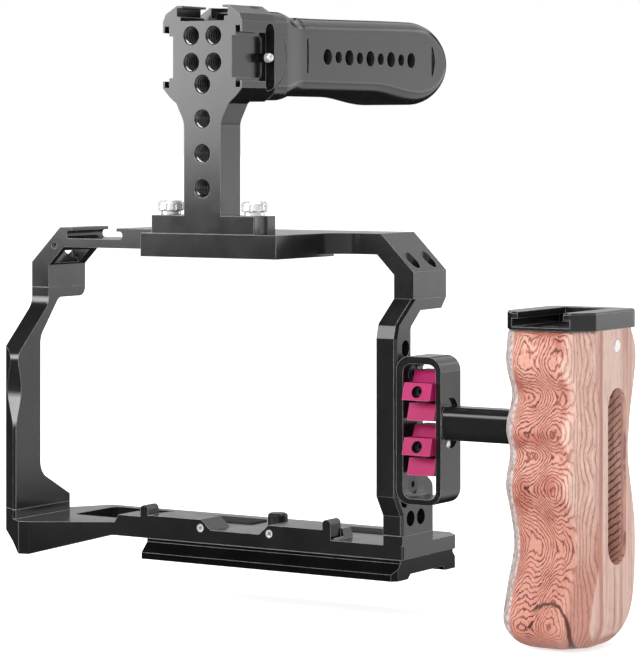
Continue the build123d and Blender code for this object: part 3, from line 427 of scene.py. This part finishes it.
def archBand(tree, layers, look):
    right, up = (calc(tree, "DIVIDE", minus(tree, layers[axis], at), size)
                 for axis, at, size in zip("xz", look["archAt"], look["archSize"]))
    reach = plus(tree, calc(tree, "POWER", right, 2.0), calc(tree, "POWER", up, 2.0))
    reach = plus(tree, calc(tree, "SQRT", reach), times(tree, layers["ripple"], look["archRipple"]))
    band = calc(tree, "ABSOLUTE", minus(tree, reach, 1.0))
    return times(tree, mapRange(tree, band, *look["archWidth"]),
                 mapRange(tree, plus(tree, right, up), *look["archPart"]),
                 calc(tree, "LESS_THAN", layers["y"], look["archBack"]))


def makeWood(name, look):
    mat, tree, shader = newMaterial(name)
    where = objectPlace(tree)
    layers = growthLayers(tree, where, look)
    fine = {key: noise(tree, where, *look[key])
            for key in ("fibre", "streak", "pores", "cloud", "patch", "scatter")}
    heart = plus(tree, layers["x"], times(tree, layers["warp"], look["heartWarp"]))
    heart = mapRange(tree, heart, *look["heart"], smooth=True)
    heart = calc(tree, "MAXIMUM", heart, layers["deep"])
    facing = split(tree, put(tree, "ShaderNodeNewGeometry").outputs["Normal"])[0]
    side = mapRange(tree, calc(tree, "ABSOLUTE", facing), *look["sideFacing"])
    side = times(tree, side, minus(tree, 1.0, layers["deep"]))
    body = bodyColour(tree, layers, fine, heart, side, look)
    lines = growthLines(tree, layers, fine, look)
    strength = lineStrength(tree, layers, fine, heart, side, look)
    colour = mixColour(tree, times(tree, lines, strength), body, look["line"])
    colour = mixColour(tree, mapRange(tree, fine["pores"], *look["poreLines"]), colour, look["line"])
    # a dark streak runs along the front right corner
    corner = times(tree, calc(tree, "COMPARE", layers["y"], *look["cornerY"]),
                   calc(tree, "GREATER_THAN", layers["x"], look["cornerX"]),
                   mapRange(tree, fine["fibre"], *look["cornerFibre"]))
    colour = mixColour(tree, corner, colour, look["warm"])
    # one dark growth line arches over the lowest eye
    colour = mixColour(tree, archBand(tree, layers, look), colour, look["line"])
    # painted reflection: the rounded front left corner is painted a speckled grey where it turns to
    # face left
    paintedReflection = times(tree, mapRange(tree, facing, *look["reflectionEdge"]),
                   mapRange(tree, facing, *look["reflectionFacing"]),
                   mapRange(tree, layers["y"], *look["reflectionBack"]))
    speck = mapRange(tree, fine["scatter"], *look["reflectionSpeck"])
    colour = mixColour(tree, paintedReflection, colour, mixColour(tree, speck, look["reflectionGrey"], look["reflectionPale"]))
    tree.links.new(colour, shader.inputs["Base Color"])
    rough = mapRange(tree, fine["fibre"], *look["roughFibre"], *look["rough"])
    tree.links.new(rough, shader.inputs["Roughness"])
    relief = plus(tree, times(tree, lines, look["lineRelief"]),
                  times(tree, fine["fibre"], look["fibreRelief"]))
    normal = addBump(tree, relief, look["bump"], look["distance"])
    tree.links.new(normal, shader.inputs["Normal"])
    shader.inputs["Specular IOR Level"].default_value = look["specular"]
    return mat


# each piece takes the finish of its material slot, apart from three with their own
slotFinish = {
    "anodised": makeMetal("satinBlackAnodised", blackMetal, paintThreadLight, cutThreads),
    "pink_anodised": makeMetal("pinkAnodised", pinkMetal, paintLockBoreShade),
    "black_steel": makeMetal("blackenedSteel", darkSteel),
    "steel": makeMetal("polishedSteel", brightSteel),
    "pads": makeRubber("seatRubber", rubberLook),
    "wood": makeWood("ringedHardwood", woodLook),
}
ownFinish = {
    "release_plate": makeMetal("matBlackPlate", plateMetal),
    "handle_grip": makeMetal("satinBlackGrip", blackMetal, paintGripHoleLight),
    "shoe_plunger": makeMetal("polishedBall", brightSteel, paintStem),
}
print("finishes made:", len(slotFinish) + len(ownFinish))

slotOf = {row["node"]: row["material_slot"] for row in frame["record"]["subparts"]}
for name, obj in nodes.items():
    obj.data.materials.clear()
    obj.data.materials.append(ownFinish.get(name, slotFinish[slotOf[name]]))
print("finishes given to", len(nodes), "pieces")


# pale floor: white to the eye; painted reflections: the metal mirrors it dark, and bright again on the
# right
floorLook = {
    "size": 40.0, "squares": 8, "gap": 0.2 * mm, "colour": (0.80, 0.80, 0.80), "speck": (300.0, 3.0),
    "speckShade": 0.98, "glowFrom": 0.1, "glowTo": 0.9, "glow": (0.72, 1.05),
    "mirrored": (0.02, 0.02, 0.02), "mirrorSpan": (0.05, 0.09), "mirrorGlow": 1.12,
    "fadeSpan": (0.33, 0.44), "fadeTo": 0.65,
}


def makeFloor(look):
    mesh = bpy.data.meshes.new("studioFloor")
    shape = bmesh.new()
    squares = look["squares"]
    bmesh.ops.create_grid(shape, x_segments=squares, y_segments=squares, size=look["size"] / 2)
    shape.to_mesh(mesh)
    shape.free()
    floor = bpy.data.objects.new("studioFloor", mesh)
    floor.location = (0, 0, cadBox[0][2] - look["gap"])
    bpy.context.scene.collection.objects.link(floor)
    mat, tree, shader = newMaterial("paleFloor")
    where = objectPlace(tree)
    rays = put(tree, "ShaderNodeLightPath").outputs
    shade = tuple(value * look["speckShade"] for value in look["colour"])
    colour = mixColour(tree, noise(tree, where, *look["speck"]), look["colour"], shade)
    colour = mixColour(tree, rays["Is Glossy Ray"], colour, look["mirrored"])
    tree.links.new(colour, shader.inputs["Base Color"])
    shader.inputs["Roughness"].default_value = 1.0
    shader.inputs["Specular IOR Level"].default_value = 0.0
    shader.inputs["Emission Color"].default_value = (1, 1, 1, 1)
    # the eye sees a glow that grows outward; a painted reflection: mirrored rays see a glowing sheen on
    # the right
    away = vectorMath(tree, "LENGTH", where)
    glow = mapRange(tree, away, look["glowFrom"], look["glowTo"], *look["glow"])
    glow = times(tree, rays["Is Camera Ray"], glow)
    rightward = split(tree, where)[0]
    sheen = times(tree, mapRange(tree, rightward, *look["mirrorSpan"], 0.0, look["mirrorGlow"]),
                  mapRange(tree, rightward, *look["fadeSpan"], 1.0, look["fadeTo"]),
                  rays["Is Glossy Ray"])
    tree.links.new(plus(tree, glow, sheen), shader.inputs["Emission Strength"])
    floor.data.materials.append(mat)


# plain white surroundings: mirrored rays meet white only in the backdrop behind the object
skyLook = {
    "seen": 1.0, "light": 0.30, "mirror": 0.03, "backdropMirror": 0.8,
    "behind": (-0.533, 0.846, 0.0), "backdropEdge": 0.93,
}


def makeSky(look):
    world = bpy.data.worlds.new("studioSky")
    world.use_nodes = True
    tree = world.node_tree
    back = tree.nodes["Background"]
    rays = put(tree, "ShaderNodeLightPath").outputs
    way = put(tree, "ShaderNodeTexCoord").outputs["Generated"]
    behind = vectorMath(tree, "DOT_PRODUCT", way, look["behind"])
    mirrored = mapRange(tree, behind, look["backdropEdge"], 1.0, look["mirror"], look["backdropMirror"])
    strength = mixValue(tree, rays["Is Glossy Ray"], look["light"], mirrored)
    seen = times(tree, rays["Is Camera Ray"], look["seen"])
    back.inputs["Color"].default_value = (1, 1, 1, 1)
    tree.links.new(calc(tree, "MAXIMUM", seen, strength), back.inputs["Strength"])
    bpy.context.scene.world = world


makeFloor(floorLook)
makeSky(skyLook)

# soft boxes: place, what they point at, width and height, watts
softBoxes = {
    "headBox": {"at": (-0.23, -0.40, 0.245), "to": (-0.02, -0.06, 0.245), "size": (0.34, 0.24),
                "watts": 1.34},
    "leftBox": {"at": (-0.42, -0.36, 0.20), "to": (-0.08, 0.0, 0.12), "size": (0.22, 0.22),
                "watts": 0.75},
    "backBox": {"at": (0.95, 1.25, 0.10), "to": (0.05, 0.0, 0.06), "size": (1.6, 1.5), "watts": 9.6},
    "woodBox": {"at": (0.35, -1.5, 0.9), "to": (0.08, 0.0, 0.02), "size": (0.8, 0.8), "watts": 13.5},
    "rimBox": {"at": (0.05, 0.95, 0.72), "to": (0.0, 0.0, 0.1), "size": (0.9, 0.5), "watts": 1.4},
    "topBox": {"at": (0.0, 0.1, 1.4), "to": (0.0, 0.0, 0.0), "size": (1.0, 1.0), "watts": 10.0},
}


def addSoftBox(name, box):
    lamp = bpy.data.lights.new(name, "AREA")
    lamp.shape = "RECTANGLE"
    lamp.size, lamp.size_y = box["size"]
    lamp.energy = box["watts"]
    obj = bpy.data.objects.new(name, lamp)
    obj.location = box["at"]
    line = obj.location - Vector(box["to"])
    obj.rotation_euler = line.to_track_quat("Z", "Y").to_euler()
    bpy.context.scene.collection.objects.link(obj)


for name, box in softBoxes.items():
    addSoftBox(name, box)
print("room and soft boxes placed")

# camera level with the handle post, turned 32 degrees from the front; focal length, horizon
# and frame in pixels
view = {
    "at": (0.48929, -0.78678, 0.13422), "turn": 32.2, "focal": 2950.0, "horizon": 139.0,
    "frameWidth": 640.0, "frameHeight": 654.0, "sensor": 36.0, "nearest": 0.01,
}
lens = bpy.data.cameras.new("cageCamera")
lens.sensor_fit = "HORIZONTAL"
lens.sensor_width = view["sensor"]
lens.lens = view["sensor"] * view["focal"] / view["frameWidth"]
lens.shift_y = -(view["frameHeight"] / 2 - view["horizon"]) / view["frameWidth"]
lens.clip_start = view["nearest"]
camera = bpy.data.objects.new("cageCamera", lens)
camera.location = view["at"]
camera.rotation_euler = (math.radians(90), 0, math.radians(view["turn"]))
bpy.context.scene.collection.objects.link(camera)
bpy.context.scene.camera = camera
bpy.context.scene.view_settings.view_transform = "Standard"
print("camera set")
